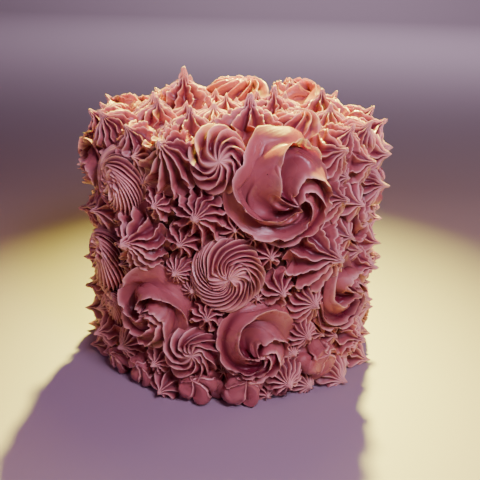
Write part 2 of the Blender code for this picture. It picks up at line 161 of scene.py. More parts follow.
TIPS = {
    "wide_ruffle": {
        **ANY_TIP, "profile": ROSE_PROFILE, "height": 0.74, "most_height": 20 * MM, "spread": 1.12,
        "ridges": 5, "steps": 30, "bands": 80,
        "depth": 1.6, "foot_depth": 0.1, "deepens": (0.05, 0.45), "valley_at": 0.72,
        "crest_edge": 0.05, "lip": 2.4 * MM, "ripple": 0.5 * MM, "tear": 0.6, "painted_highlight": 0.62,
        "twist": 4.8, "roll": 0.3, "wobble": 0.15, "buckle": 0.05, "bunch": 0.6, "low_ridges": 0.7,
        "knot": 1.5,
    },
    "ruffle_rose": {
        **ANY_TIP, "profile": ROSE_PROFILE, "height": 0.80, "most_height": 19 * MM, "spread": 1.12,
        "ridges": 5, "steps": 22, "bands": 50,
        "depth": 1.5, "foot_depth": 0.2, "deepens": (0.1, 0.45), "valley_at": 0.70,
        "crest_edge": 0.05, "lip": 1.6 * MM, "ripple": 0.4 * MM, "tear": 0.5, "painted_highlight": 0.58,
        "twist": 3.0, "roll": 0.25, "wobble": 0.12, "buckle": 0.14, "bunch": 0.5, "low_ridges": 0.6,
        "knot": 1.2, "eye": 0.5,
    },
    "fine_swirl": {
        **ANY_TIP, "profile": SWIRL_PROFILE, "height": 0.72, "most_height": 15 * MM, "spread": 1.10,
        "ridges": 22, "steps": 8, "bands": 48,
        "depth": 2.5, "foot_depth": 0.6, "deepens": (0.0, 0.4), "valley_at": 0.66, "flank": 0.9,
        "crest_edge": 0.12, "lip": 0.3 * MM, "ripple": 0.15 * MM, "tear": 0.25,
        "twist": 3.1, "roll": 0.1, "wobble": 0.05, "buckle": 0.16, "knot": 1.2, "eye": 2.0,
    },
    "open_swirl": {
        **ANY_TIP, "profile": SWIRL_PROFILE, "height": 0.92, "most_height": 15 * MM, "spread": 1.12,
        "ridges": 11, "steps": 10, "bands": 40,
        "depth": 2.0, "foot_depth": 0.5, "deepens": (0.05, 0.45), "valley_at": 0.68, "flank": 0.85,
        "crest_edge": 0.1, "lip": 0.5 * MM, "ripple": 0.25 * MM, "tear": 0.3,
        "twist": 2.2, "roll": 0.12, "wobble": 0.05, "buckle": 0.14, "knot": 0.9, "eye": 1.4,
    },
    "wavy_star": {
        **ANY_TIP, "profile": DROP_PROFILE, "height": 0.98, "most_height": 17 * MM, "spread": 1.18,
        "ridges": 12, "steps": 10, "bands": 46,
        "depth": 1.6, "foot_depth": 0.55, "deepens": (0.0, 0.5),
        "lip": 1.1 * MM, "ripple": 1.0 * MM, "tear": 0.9,
        "twist": 0.15, "wobble": 0.12, "buckle": 0.9, "bunch": 0.25, "eye": 0.2,
    },
    "star_drop": {
        **ANY_TIP, "profile": DROP_PROFILE, "height": 1.2, "most_height": 17 * MM, "spread": 1.2,
        "ridges": 9, "steps": 10, "bands": 30,
        "depth": 1.4, "foot_depth": 0.45, "deepens": (0.1, 0.55),
        "lip": 0.8 * MM, "ripple": 0.7 * MM, "tear": 0.6,
        "twist": 0.2, "wobble": 0.08, "buckle": 0.7,
    },
    "petal_drop": {
        **ANY_TIP, "profile": ROSE_PROFILE, "height": 1.15, "most_height": 15 * MM, "spread": 1.2,
        "ridges": 5, "steps": 22, "bands": 40,
        "depth": 1.35, "foot_depth": 1.0, "deepens": (0.12, 0.4), "valley_at": 0.45, "lobed": True,
        "flank": 0.8, "lip": 1.7 * MM, "ripple": 0.25 * MM, "tear": 0.3, "painted_highlight": 0.4,
        "twist": 1.1, "roll": 0.1, "wobble": 0.12, "buckle": 0.35, "bunch": 0.35, "low_ridges": 0.5,
        "knot": 0.3,
    },
    "small_star": {
        **ANY_TIP, "profile": DROP_PROFILE, "height": 1.15, "most_height": 14 * MM, "spread": 1.25,
        "ridges": 8, "steps": 6, "bands": 13,
        "depth": 1.3, "foot_depth": 0.45, "deepens": (0.1, 0.55),
        "lip": 0.6 * MM, "ripple": 0.4 * MM, "tear": 0.3,
        "twist": 0.15, "wobble": 0.08, "buckle": 0.6,
    },
}
# Every third star is piped with a finer tip, which leaves more and thinner ridges.
FINE_STAR = {"ridges": 14, "depth": 1.6, "lip": 0.5 * MM, "crest_edge": 0.1, "ripple": 0.3 * MM}
FINE_TIPS = {
    "star_drop": {**TIPS["star_drop"], **FINE_STAR, "steps": 8},
    "small_star": {**TIPS["small_star"], **FINE_STAR, "steps": 5},
}

# The side of the cake that faces front: tip, degrees to the right of front, height and width in mm.
# Then, for some, where the tip of the piece lies as shares of its radius to the right and up, and
# for a few how many degrees the ridges are turned.
FRONT_SIDE = (
    ("wide_ruffle", 15, 129, 56, 0.25, -0.2, 80),
    ("wide_ruffle", -30, 57, 45, -0.1, -0.15, 40),
    ("wide_ruffle", 10, 40, 44, 0.0, -0.25, 20),
    ("wide_ruffle", 46, 61, 44, 0.3, 0.0, 60),
    ("wide_ruffle", -72, 124, 36),
    ("ruffle_rose", 61, 98, 27),
    ("fine_swirl", -2, 82, 40, 0.08, -0.05),
    ("fine_swirl", -48, 122, 36, -0.2, 0.1),
    ("fine_swirl", -60, 72, 38, 0.1, 0.5),
    ("open_swirl", -6, 142, 31, 0.1, -0.05),
    ("open_swirl", -14, 31, 33, 0.1, 0.2),
    ("fine_swirl", -58, 43, 24, 0.2, 0.3),
    ("wavy_star", -37, 94, 36, -0.05, 0.0),
    ("wavy_star", 32, 88, 37, 0.3, 0.1),
    ("wavy_star", -12, 113, 28, 0.0, 0.15),
    ("wavy_star", -24, 138, 31, 0.0, 0.5),
    ("wavy_star", 57, 25, 27),
    ("star_drop", 38, 141, 22, 0.2, 0.2),
    ("star_drop", 37, 118, 22, 0.3, 0.3),
    ("star_drop", 67, 117, 22),
    ("star_drop", 55, 134, 20),
    ("star_drop", -28, 117, 18),
    ("star_drop", 30, 59, 22),
    ("star_drop", 18, 72, 19),
    ("star_drop", -18, 99, 18),
    ("star_drop", -20, 81, 16),
    ("star_drop", 13, 92, 17),
    ("star_drop", -9, 56, 19),
    ("star_drop", 29, 41, 18),
    ("star_drop", 65, 67, 21),
    ("star_drop", -79, 43, 20),
    ("star_drop", -45, 25, 20),
    ("star_drop", -28, 22, 18),
    ("star_drop", -61, 23, 21),
    ("star_drop", 22, 15, 23),
    ("petal_drop", -38, 9, 20, 0.1, 0.75),
    ("petal_drop", -12, 9, 25, -0.1, 0.75),
    ("petal_drop", 5, 10, 25, 0.1, 0.75),
    ("petal_drop", 37, 20, 24, 0.1, 0.6),
    ("star_drop", -83, 91, 22),
    ("star_drop", 71, 42, 19),
    ("petal_drop", -53, 7, 18, 0.0, 0.7),
)
# The rim where it faces front: tip, degrees and width in mm.
FRONT_RIM = (
    ("star_drop", -80, 24), ("star_drop", -62, 24), ("star_drop", -45, 21), ("star_drop", 49, 21),
    ("star_drop", 65, 22), ("star_drop", 81, 24),
)
# The top: tip, degrees and distance from the middle in mm, and width in mm. Then, for some, how much
# taller it is.
TOP = (
    ("open_swirl", 180, 56, 41),
    ("ruffle_rose", 139, 57, 37),
    ("star_drop", 96, 55, 31),
    ("open_swirl", 36, 57, 28),
    ("wavy_star", 6, 54, 33),
    ("star_drop", -25, 58, 25),
    ("star_drop", -56, 55, 24),
    ("star_drop", -90, 50, 24),
    ("wavy_star", -104, 34, 28, 1.35),
    ("star_drop", 147, 26, 22),
    ("star_drop", -148, 58, 27),
    ("star_drop", -121, 54, 22),
    ("wavy_star", 60, 27, 30),
    ("star_drop", 70, 58, 22),
)
# What the hidden side holds: tip, how many, and the least and most width in mm. The pieces of the
# three largest kinds are spread out.
BACK_SIDE = (
    ("wide_ruffle", 2, 44, 52), ("ruffle_rose", 3, 34, 44), ("fine_swirl", 4, 34, 40),
    ("open_swirl", 5, 28, 34), ("wavy_star", 7, 27, 35), ("petal_drop", 4, 23, 26),
    ("small_star", 28, 18, 22),
)
SPREAD_OUT = ("wide_ruffle", "ruffle_rose", "fine_swirl")
FRONT_HALF_ANGLE = math.radians(78)
TRIES = 500

# The rim behind takes drops of about this width, varied from one to the next.
RIM_RADIUS = CAKE_RADIUS - 2.0 * MM
RIM_OUT = 7.0 * MM
RIM_LEVEL = CAKE_HEIGHT + 5.0 * MM
RIM_WIDTH = 22.0 * MM
RIM_VARIES = 0.12
RIM_RHYTHM = 2.4

# Small drops close the holes that stay, and tiny ones close the gaps between those.
SMALL_LEAST = 7.6 * MM
SMALL_MOST = 11.2 * MM
TINY_LEAST = 4.8 * MM
TOP_LIMIT = 60.0 * MM
TOP_SPOTS = 60
SIDE_LOW = 4.0 * MM
SIDE_HIGH = 138.0 * MM
SIDE_LEVELS = 48
SIDE_DEGREES = 2.5
PACKING = 0.90
SMALL_PACKING = 1.12


class Piece:
    """One squeeze of the piping bag: where it sits, its size, and how it varies from its fellows."""

    def __init__(self, number, tip, zone, angle, along, radius, tip_at=()):
        draw = random.Random(SEED * 1000 + number)
        self.number = number
        self.tip = tip
        self.zone = zone
        self.angle = angle
        self.along = along
        self.radius = radius
        self.fine = tip in FINE_TIPS and number % 3 == 1
        self.style = FINE_TIPS[tip] if self.fine else TIPS[tip]
        self.turn = draw.uniform(0, math.tau)
        self.twist = self.style["twist"] * draw.uniform(*TWIST_VARIES)
        self.height = min(self.style["height"] * radius, self.style["most_height"])
        self.height *= draw.uniform(*HEIGHT_VARIES)
        if zone == "top" and tip not in LOW_TOPS:
            self.height *= TOP_STRETCH
        self.lean_x = radius * draw.uniform(*LEAN_SIDEWAYS)
        self.lean_y = radius * draw.uniform(*LEAN_UPWARDS)
        if tip_at:
            self.lean_x, self.lean_y = radius * tip_at[0], radius * tip_at[1]
        self.wave_turn = draw.uniform(0, math.tau)
        self.wave_count = draw.uniform(*WOBBLES)
        self.uneven = [draw.uniform(*UNEVEN) for _ in range(3)]
        self.uneven_turn = [draw.uniform(0, math.tau) for _ in range(3)]
        self.tilt = draw.uniform(*RIM_TILT)
        if len(tip_at) > 2:
            self.turn = math.radians(tip_at[2])
        if tip == "petal_drop":
            self.turn = PETAL_TURN + 0.1 * self.turn
        self.slant = 1.5 * max(radius, 1.1 * self.height)
        ridges = self.style["ridges"]
        self.ridge_reach = np.array([draw.uniform(-1, 1) for _ in range(ridges)])
        self.ridge_turn = np.array([[draw.uniform(0, math.tau) for _ in range(6)] for _ in range(ridges)])

    def own_solid(self):
        return self.zone != "rim" and 2 * self.radius >= OWN_SOLID_WIDTH - 0.1 * MM

    def place(self, x, y, w):
        """World points for arrays of x to the right, y up or inward, and w out from the cake."""
        if self.zone == "side":
            rise = self.along + y
            lean = np.clip((rise - LEAN_START) / LEAN_RADIUS, 0, None)
            out = CAKE_RADIUS + w - (LEAN_RADIUS + w) * (1 - np.cos(lean))
            up = np.where(lean > 0, LEAN_START + (LEAN_RADIUS + w) * np.sin(lean), rise)
            turn = self.angle + x / MID_RADIUS
            return np.stack([out * np.sin(turn), -out * np.cos(turn), up], axis=-1)
        sine, cosine = math.sin(self.angle), math.cos(self.angle)
        outward = np.array([sine, -cosine, 0.0])
        across = np.array([cosine, sine, 0.0])
        upward = np.array([0.0, 0.0, 1.0])
        if self.zone == "top":
            middle = outward * self.along + upward * CAKE_HEIGHT
            normal, inward = upward, -outward
        else:
            tilt = math.radians(self.tilt)
            normal = outward * math.cos(tilt) + upward * math.sin(tilt)
            inward = upward * math.cos(tilt) - outward * math.sin(tilt)
            centre = outward * (CAKE_RADIUS - CAKE_SHOULDER) + upward * (CAKE_HEIGHT - CAKE_SHOULDER)
            middle = centre + normal * CAKE_SHOULDER
        x, y, w = (np.asarray(v, float)[..., None] for v in (x, y, w))
        return middle + x * across + y * inward + w * normal

    def middle(self):
        return self.place(np.array(0.0), np.array(0.0), np.array(MEETING_LIFT))


def smooth_profile(points, share):
    """Radius and height shares along a smooth curve through the profile's points."""
    points = np.array(points)
    last = len(points) - 1
    ends = np.vstack([2 * points[0] - points[1], points, 2 * points[-1] - points[-2]])
    spot = np.clip(share, 0, 1) * last
    index = np.minimum(spot.astype(int), last - 1)
    t = (spot - index)[:, None]
    a, b, c, d = (ends[index + k] for k in range(4))
    bend = (2 * a - 5 * b + 4 * c - d) * t**2 + (3 * b - a - 3 * c + d) * t**3
    curve = b + 0.5 * ((c - a) * t + bend)
    return curve[:, 0], curve[:, 1]


def way_out(piece, share):
    """The direction out of the smooth piece: how much of it is away from the axis, and how much up."""
    profile = piece.style["profile"]
    r_up, w_up = smooth_profile(profile, np.clip(share + PROFILE_STEP, 0, 1))
    r_down, w_down = smooth_profile(profile, np.clip(share - PROFILE_STEP, 0, 1))
    run = (r_up - r_down) * piece.radius
    rise = (w_up - w_down) * piece.height
    length = np.hypot(run, rise)
    return rise / length, -run / length


def ridge_shape(style, around):
    """Where each point lies between two crests: its ridge, how far down the flank from 0 to 1, how
    far from the crest in ridge spacings, its angle once the ridges are bunched, and how wide the
    ridges are there. Points are crowded towards the crests."""
    spot = style["ridges"] * (around - math.pi / 2) / math.tau
    between = spot - np.floor(spot)
    crowding = 0 if style["lobed"] else CROWDING
    crowded = between - crowding * np.sin(math.tau * between) / math.tau
    whole = math.tau * (np.floor(spot) + crowded) / style["ridges"]
    angle = whole - style["bunch"] * np.sin(whole)
    wide = 1 - style["bunch"] * np.cos(whole)
    valley_at = style["valley_at"]
    outer = crowded > valley_at
    ridge = (np.floor(spot).astype(int) + outer) % style["ridges"]
    t = np.where(outer, 0.5 + 0.5 * (crowded - valley_at) / (1 - valley_at), 0.5 * crowded / valley_at)
    edge = style["crest_edge"]
    down = np.sqrt(np.sin(math.pi * t) ** 2 + edge**2) - edge
    down = (down / (math.sqrt(1 + edge**2) - edge)) ** style["flank"]
    off_crest = np.minimum(crowded, 1 - crowded)
    if style["lobed"]:
        down = 1 - np.sqrt(1 - (1 - np.abs(1 - 2 * t)) ** 2)
        off_crest = np.abs(crowded - PETAL_EDGE)
    return ridge, down, off_crest, angle, wide


def wave(count, fade, start):
    """A wave that rises this many times between the foot of a piece and its tip."""
    return np.sin(math.tau * count * fade + start)


def crumpled(piece, share, around, turns):
    """How deep the folds in the middle of a piece are."""
    middle = np.clip((share - KNOT_START) / KNOT_RISE, 0, 1) * np.clip((1 - share) / KNOT_END, 0, 1)
    folds = np.abs(np.sin(2 * around + 8 * share + turns[:, 4]))
    folds += np.abs(np.sin(3 * around - 13 * share + piece.wave_turn)) - EVEN_FOLDS
    return piece.style["knot"] * middle * folds * KNOT_DEPTH * piece.radius


def icing_surface(piece, share, around):
    """Local x, y, w of the points that lie share of the way to the tip, at the angle around.

    Also gives the same points with the valleys filled, a painted highlight mask that is high near a
    crest and, as painted sheen, on the rest of the ridge, and a painted shade mask that is high deep in a
    narrow valley."""
    style = piece.style
    radius_share, height_share = smooth_profile(style["profile"], share)
    out_r, out_w = way_out(piece, share)
    ridge, down, off_crest, around, wide = ridge_shape(style, around)
    crest = 1 - down
    fade = 1 - share
    turns = piece.ridge_turn[ridge]
    common = piece.wave_turn
    slow = wave(SLOW_WAVES[0], fade, common + RIDGE_LAG[0] * turns[:, 0])
    slow += SLOW_SHARE * wave(SLOW_WAVES[1], fade, 2 * common + RIDGE_LAG[1] * turns[:, 1])
    quick = wave(QUICK_WAVES[0], fade, turns[:, 2]) + wave(QUICK_WAVES[1], fade, turns[:, 3])
    jag = wave(JAGGED_WAVES[0], fade, turns[:, 5]) + wave(JAGGED_WAVES[1], fade, turns[:, 2])

    round_here = piece.radius * np.clip(radius_share, 0.02, 1.1)
    winding = round_here * piece.twist / piece.slant
    spacing = wide * math.tau * round_here / style["ridges"] / np.sqrt(1 + winding**2)
    off_crest = off_crest * spacing
    deep_from, deep_to = style["deepens"]
    deepen = np.clip((share - deep_from) / (deep_to - deep_from), 0, 1)
    deepen = deepen**2 * (3 - 2 * deepen)
    depth = style["depth"] * (style["foot_depth"] + (1 - style["foot_depth"]) * deepen)
    low = style["low_ridges"] * (1 + piece.ridge_reach[ridge]) * deepen
    sink = depth * down * spacing / 2
    sink += crest * style["tear"] * np.clip(quick - TORN_FROM, 0, 2) * TORN_DEPTH * spacing
    sink += crest * min(style["buckle"], MOST_BUCKLE) * slow * BUCKLE_DEPTH * spacing
    sink += crest * low * LOW_DEPTH * spacing
    torn_lip = 1 - LIP_TORN * style["tear"] * np.clip(jag + 0.4 * quick - LIP_TORN_FROM, 0, 1)
    sink -= style["lip"] * torn_lip * deepen * np.exp(-((off_crest / LIP_WIDTH) ** 2))
    sink += crumpled(piece, share, around, turns)

    half_ridge = math.pi / style["ridges"]
    sway = np.clip(1.8 * fade, 0, 1) * np.clip(share / 0.12, 0.3, 1)
    swing = (
        piece.turn + around
        - piece.twist * fade
        + style["wobble"] * fade * wave(piece.wave_count, fade, common)
        + style["buckle"] * half_ridge * sway * (0.35 + 0.65 * crest) * slow * 0.5
    )
    pulse = math.tau * piece.slant * fade / RIPPLE_LENGTH + common
    ripple = np.sin(pulse + 0.35 * turns[:, 4]) + 0.5 * np.sin(1.7 * pulse + 0.6 * turns[:, 5])
    swing += style["ripple"] * sway * (0.5 + 0.5 * crest) * ripple / (round_here + 2 * MM)

    uneven = RIDGE_REACH * piece.ridge_reach[ridge] * crest
    for k, (size, turn) in enumerate(zip(piece.uneven, piece.uneven_turn)):
        uneven += size * np.sin((k + 1) * around + turn)
    reach = piece.radius * radius_share * (1 + uneven) * style["spread"]
    reach -= style["roll"] * spacing * crest**2 * deepen
    eye = style["eye"] * np.exp(-((radius_share / EYE_WIDTH) ** 2))
    reach *= 1 + eye * np.cos(swing - common) ** 2

    blend = 1 - np.clip(radius_share, 0, 1)
    shift_x, shift_y = piece.lean_x * blend, piece.lean_y * blend
    height = -FOOT_DEPTH + (piece.height + FOOT_DEPTH) * height_share

    def spot(depth_here):
        distance = np.maximum(reach - out_r * depth_here, 0)
        w = np.maximum(height - out_w * depth_here, -FOOT_DEPTH)
        x = distance * np.cos(swing) + shift_x
        y = distance * np.sin(swing) + shift_y
        return x, y, w + LUMP * lumps(x + 0.7 * piece.number * MM, y, w)

    # Painted highlight: lighter near each crest, and lighter over the rest of the ridge as painted sheen.
    crest_highlight = np.exp(-off_crest / CREST_HIGHLIGHT_FADE) * (0.3 + 0.7 * deepen)
    crest_highlight = np.maximum(crest_highlight, style["painted_highlight"] * crest**2)
    # Painted shade for the valleys: full in narrow ones, weaker in wide ones.
    narrow = np.clip(NARROW_VALLEY / spacing, 0.2, 1)
    return spot(sink), spot(np.zeros_like(sink)), crest_highlight, down * deepen * narrow


def lumps(x, y, w):
    """Soft unevenness, between about -1 and 1, that nobody pipes away."""
    a = np.sin(x / (2.1 * MM) + 2 * np.sin(y / (3.3 * MM))) + np.sin(y / (1.9 * MM) + w / (2.7 * MM))
    b = np.sin(x / (5.1 * MM) + y / (4.3 * MM)) + np.sin(w / (3.1 * MM) - x / (3.7 * MM))
    return 0.3 * a + 0.4 * b


def held_back(piece, planes, x, y, w):
    """How much of x and y each point keeps so that it stays on this piece's side of every plane."""
    keep = np.ones_like(x)
    for normal, limit in planes:
        outside = np.flatnonzero(piece.place(x * keep, y * keep, w) @ normal > limit)
        if not len(outside):
            continue
        x_out, y_out, w_out = x[outside], y[outside], w[outside]
        low, high = np.zeros(len(outside)), keep[outside]
        for _ in range(HALVINGS):
            half = (low + high) / 2
            beyond = piece.place(x_out * half, y_out * half, w_out) @ normal > limit
            high = np.where(beyond, half, high)
            low = np.where(beyond, low, half)
        keep[outside] = low
    return keep


def meeting_planes(piece, pieces):
    """The planes that part this piece from its neighbours and keep it above z = 0."""
    planes = [(np.array([0.0, 0.0, -1.0]), -FLOOR_GAP)] if piece.zone == "side" else []
    here = piece.middle()
    for other in pieces:
        if other is piece:
            continue
        way = other.middle() - here
        distance = float(np.linalg.norm(way))
        both = piece.radius + other.radius
        if distance < MEETING_STRETCH * both + MEETING_ROOM:
            normal = way / distance
            share = piece.radius / both
            planes.append((normal, float(normal @ here) + distance * share + PRESSED_IN))
    return planes


def flat_distance(angle, along, other):
    """How far a spot on the unrolled side lies from the middle of another piece."""
    turn = (angle - other.angle + math.pi) % math.tau - math.pi
    level = other.along if other.zone == "side" else RIM_LEVEL
    return np.hypot(turn * MID_RADIUS, along - level)


def top_distance(x, y, other):
    """How far a spot on the top lies from the middle of another piece."""
    radius = other.along if other.zone == "top" else RIM_RADIUS
    return np.hypot(x - radius * math.sin(other.angle), y + radius * math.cos(other.angle))


def free_reach(angle, along, others):
    """The room at a spot on the side, out to the nearest piece's edge."""
    return np.min([flat_distance(angle, along, p) - PACKING * p.radius for p in others], axis=0)


def add(pieces, tip, zone, angle, along, radius, tip_at=()):
    pieces.append(Piece(len(pieces), tip, zone, angle, along, radius, tip_at))


def add_shown(pieces):
    for tip, degrees, height, width, *tip_at in FRONT_SIDE:
        add(pieces, tip, "side", math.radians(degrees), height * MM, width / 2 * MM, tip_at)
    for tip, degrees, width in FRONT_RIM:
        add(pieces, tip, "rim", math.radians(degrees), RIM_RADIUS, width / 2 * MM)
    for tip, degrees, distance, width, *taller in TOP:
        add(pieces, tip, "top", math.radians(degrees), distance * MM, width / 2 * MM)
        for more in taller:
            pieces[-1].height *= more


def add_back_rim(pieces):
    """Drops spaced evenly along the rim from one end of the shown stretch to the other."""
    start, end = math.radians(FRONT_RIM[-1][1]), math.radians(FRONT_RIM[0][1]) + math.tau
    count = round((end - start) * (RIM_RADIUS + RIM_OUT) / RIM_WIDTH)
    for k in range(1, count):
        width = RIM_WIDTH * (1.0 + RIM_VARIES * math.sin(RIM_RHYTHM * k))
        add(pieces, "star_drop", "rim", start + (end - start) * k / count, RIM_RADIUS, width / 2)


def add_back_side(pieces):
    """The hidden side, largest pieces first, each where it fits best among random spots."""
    draw = random.Random(SEED)
    for tip, count, least, most in BACK_SIDE:
        for _ in range(count):
            radius = draw.uniform(least, most) / 2 * MM
            turns = [draw.uniform(FRONT_HALF_ANGLE, math.tau - FRONT_HALF_ANGLE) for _ in range(TRIES)]
            angles = np.array(turns)
            levels = np.array([draw.uniform(0.8 * radius, SIDE_HIGH) for _ in range(TRIES)])
            reach = free_reach(angles, levels, [p for p in pieces if p.zone != "top"])
            fits = reach >= PACKING * radius
            if fits.any():
                score = np.where(fits, reach if tip in SPREAD_OUT else -reach, -1)
                best = int(np.argmax(score))
                add(pieces, tip, "side", float(angles[best]), float(levels[best]), radius)


def widest_hole(reach, least):
    """The spot with the most room, and the radius of the star that fills it, if one fits."""
    spot = np.unravel_index(int(np.argmax(reach)), reach.shape)
    radius = float(reach[spot]) * SMALL_PACKING
    return spot, min(radius, SMALL_MOST) if radius >= least else None


def add_small_sides(pieces, least):
    """Small stars in the widest holes that are left on the side, until no hole is wide enough."""
    angles, levels = np.meshgrid(
        np.radians(np.arange(0, 360, SIDE_DEGREES)), np.linspace(SIDE_LOW, SIDE_HIGH, SIDE_LEVELS)
    )
    while True:
        reach = free_reach(angles, levels, [p for p in pieces if p.zone != "top"])
        spot, radius = widest_hole(reach, least)
        if radius is None:
            return
        add(pieces, "small_star", "side", float(angles[spot]), float(levels[spot]), radius)


def add_small_tops(pieces, least):
    """Small stars in the holes that are left on the top."""
    line = np.linspace(-TOP_LIMIT, TOP_LIMIT, TOP_SPOTS)
    x, y = np.meshgrid(line, line)
    inside = np.hypot(x, y) <= TOP_LIMIT
    while True:
        others = [p for p in pieces if p.zone != "side"]
        reach = np.min([top_distance(x, y, p) - PACKING * p.radius for p in others], axis=0)
        spot, radius = widest_hole(np.where(inside, reach, 0), least)
        if radius is None:
            return
        angle = math.atan2(float(x[spot]), -float(y[spot]))
        add(pieces, "small_star", "top", angle, float(np.hypot(x[spot], y[spot])), radius)


def all_pieces():
    """The pieces that the solids have, and then tiny drops in the gaps that are left."""
    pieces = []
    add_shown(pieces)
    add_back_rim(pieces)
    add_back_side(pieces)
    for least in (SMALL_LEAST, TINY_LEAST):
        add_small_sides(pieces, least)
        add_small_tops(pieces, least)
    return pieces


def bare_cone(name, style):
    """The cone that every piece of one tip starts as: closed, with a point at its top and foot."""
    bm = bmesh.new()
    bmesh.ops.create_cone(
        bm, cap_ends=True, segments=style["ridges"] * style["steps"], radius1=1, radius2=0.5, depth=1
    )
    slant = [e for e in bm.edges if e.verts[0].co.z * e.verts[1].co.z < 0]
    bmesh.ops.subdivide_edges(bm, edges=slant, cuts=style["bands"] - 1)
    nearly_half = 0.499
    top_ring = [v for v in bm.verts if v.co.z > nearly_half]
    bmesh.ops.pointmerge(bm, verts=top_ring, merge_co=Vector((0, 0, 0.5)))
    foot_face = next(f for f in bm.faces if all(v.co.z < -nearly_half for v in f.verts))
    bmesh.ops.poke(bm, faces=[foot_face])
    mesh = bpy.data.meshes.new(name + "_cone")
    bm.to_mesh(mesh)
    bm.free()
    return mesh


# The drag marks of one piece start this far from those of the next.
STRAND_STEP = 3.7


def piped_mesh(name, piece, pieces, cone):
    """The closed mesh of one piped piece, with masks for its painted crest highlight and painted valley
    shade.
    """
    count = len(cone.vertices)
    spots = np.empty(count * 3)
    cone.vertices.foreach_get("co", spots)
    spots = spots.reshape(count, 3)
    share, around = spots[:, 2] + 0.5, np.arctan2(spots[:, 1], spots[:, 0])
    (x, y, w), filled, crest, painted_valley_shade = icing_surface(piece, share, around)
    planes = meeting_planes(piece, pieces)
    keep = held_back(piece, planes, *filled)
    x, y = x * keep, y * keep
    keep = held_back(piece, planes, x, y, w)
    x, y = x * keep, y * keep
    on_axis = np.hypot(spots[:, 0], spots[:, 1]) < 0.01
    foot_middle = on_axis & (share < 0.5)
    x[foot_middle] = y[foot_middle] = 0
    mesh = cone.copy()
    mesh.name = name
    mesh.vertices.foreach_set("co", piece.place(x, y, w).ravel())
    # The crest attribute carries the painted highlight and the other one the painted valley shade.
    for layer_name, values in (("crest", crest), ("painted_valley_shade", painted_valley_shade)):
        layer = mesh.attributes.new(layer_name, "FLOAT", "POINT")
        layer.data.foreach_set("value", values)
    strand = np.stack([np.cos(around), np.sin(around), share + piece.number * STRAND_STEP], axis=-1)
    strand_layer = mesh.attributes.new("strand", "FLOAT_VECTOR", "POINT")
    strand_layer.data.foreach_set("vector", strand.ravel())
    mesh.update()
    return mesh


def joined(name, meshes):
    bm = bmesh.new()
    for mesh in meshes:
        bm.from_mesh(mesh)
    whole = bpy.data.meshes.new(name)
    bm.to_mesh(whole)
    bm.free()
    for mesh in meshes:
        bpy.data.meshes.remove(mesh)
    return whole


def add_piece(name, mesh, material, nodes):
    obj = bpy.data.objects.new(name, mesh)
    bpy.context.scene.collection.objects.link(obj)
    mesh.materials.clear()
    mesh.materials.append(material)
    mesh.shade_smooth()
    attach(obj, "root")
    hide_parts(*nodes)


def crumb_coated_cake():
    """The cake that shows between the piped pieces, smoothed with a palette knife; its coat is painted dark
    as shade in the gaps.
    """
    bm = bmesh.new()
    bmesh.ops.create_cone(
        bm, cap_ends=True, segments=CAKE_SIDES, radius1=CAKE_RADIUS, radius2=CAKE_RADIUS,
        depth=CAKE_HEIGHT, matrix=Matrix.Translation((0, 0, CAKE_HEIGHT / 2)),
    )
    upper = [e for e in bm.edges if all(v.co.z > CAKE_HEIGHT / 2 for v in e.verts)]
    bmesh.ops.bevel(
        bm, geom=upper, offset=CAKE_SHOULDER, segments=SHOULDER_STEPS, profile=0.5, affect="EDGES",
        material=-1,
    )
    mesh = bpy.data.meshes.new("crumb_coated_cake")
    bm.to_mesh(mesh)
    bm.free()
    return mesh


class Nodes:
    """Short calls for the nodes of one material."""

    def __init__(self, name):
        self.material = bpy.data.materials.new(name)
        self.material.use_nodes = True
        self.tree = self.material.node_tree
        self.shader = self.tree.nodes["Principled BSDF"]

    def add(self, kind, **inputs):
        node = self.tree.nodes.new(kind)
        for name, value in inputs.items():
            self.feed(node.inputs[name.replace("_", " ")], value)
        return node

    def feed(self, socket, value):
        if isinstance(value, bpy.types.NodeSocket):
            self.tree.links.new(value, socket)
        else:
            socket.default_value = value

    def shade(self, **inputs):
        """Feeds sockets of the shader itself."""
        for name, value in inputs.items():
            self.feed(self.shader.inputs[name.replace("_", " ")], value)

    def attribute(self, name):
        node = self.tree.nodes.new("ShaderNodeAttribute")
        node.attribute_name = name
        return node

    def noise(self, vector, scale, detail=3.0, roughness=0.55):
        node = self.add("ShaderNodeTexNoise", Vector=vector, Scale=scale, Detail=detail, Roughness=roughness)
        return node.outputs["Fac"]

    def ramp(self, value, *stops):
        """A smooth colour or grey ramp through pairs of place and colour."""
        node = self.add("ShaderNodeValToRGB", Fac=value)
        node.color_ramp.interpolation = "EASE"
        while len(node.color_ramp.elements) < len(stops):
            node.color_ramp.elements.new(0.5)
        for element, (place, colour) in zip(node.color_ramp.elements, stops):
            element.position = place
            element.color = (*colour, 1) if isinstance(colour, tuple) else (colour, colour, colour, 1)
        return node.outputs["Color"]

    def maths(self, operation, a, b=0.0):
        node = self.tree.nodes.new("ShaderNodeMath")
        node.operation = operation
        self.feed(node.inputs[0], a)
        self.feed(node.inputs[1], b)
        return node.outputs[0]

    def mix(self, factor, a, b, blend="MIX"):
        node = self.tree.nodes.new("ShaderNodeMix")
        node.data_type = "RGBA"
        node.blend_type = blend
        self.feed(node.inputs[0], factor)
        self.feed(node.inputs[6], a)
        self.feed(node.inputs[7], b)
        return node.outputs[2]

    def stretched(self, vector, scale):
        node = self.tree.nodes.new("ShaderNodeMapping")
        self.feed(node.inputs["Vector"], vector)
        node.inputs["Scale"].default_value = scale
        return node.outputs[0]

    def bump(self, relief, strength, height):
        node = self.add("ShaderNodeBump", Height=relief, Strength=strength, Distance=height)
        self.shade(Normal=node.outputs["Normal"])


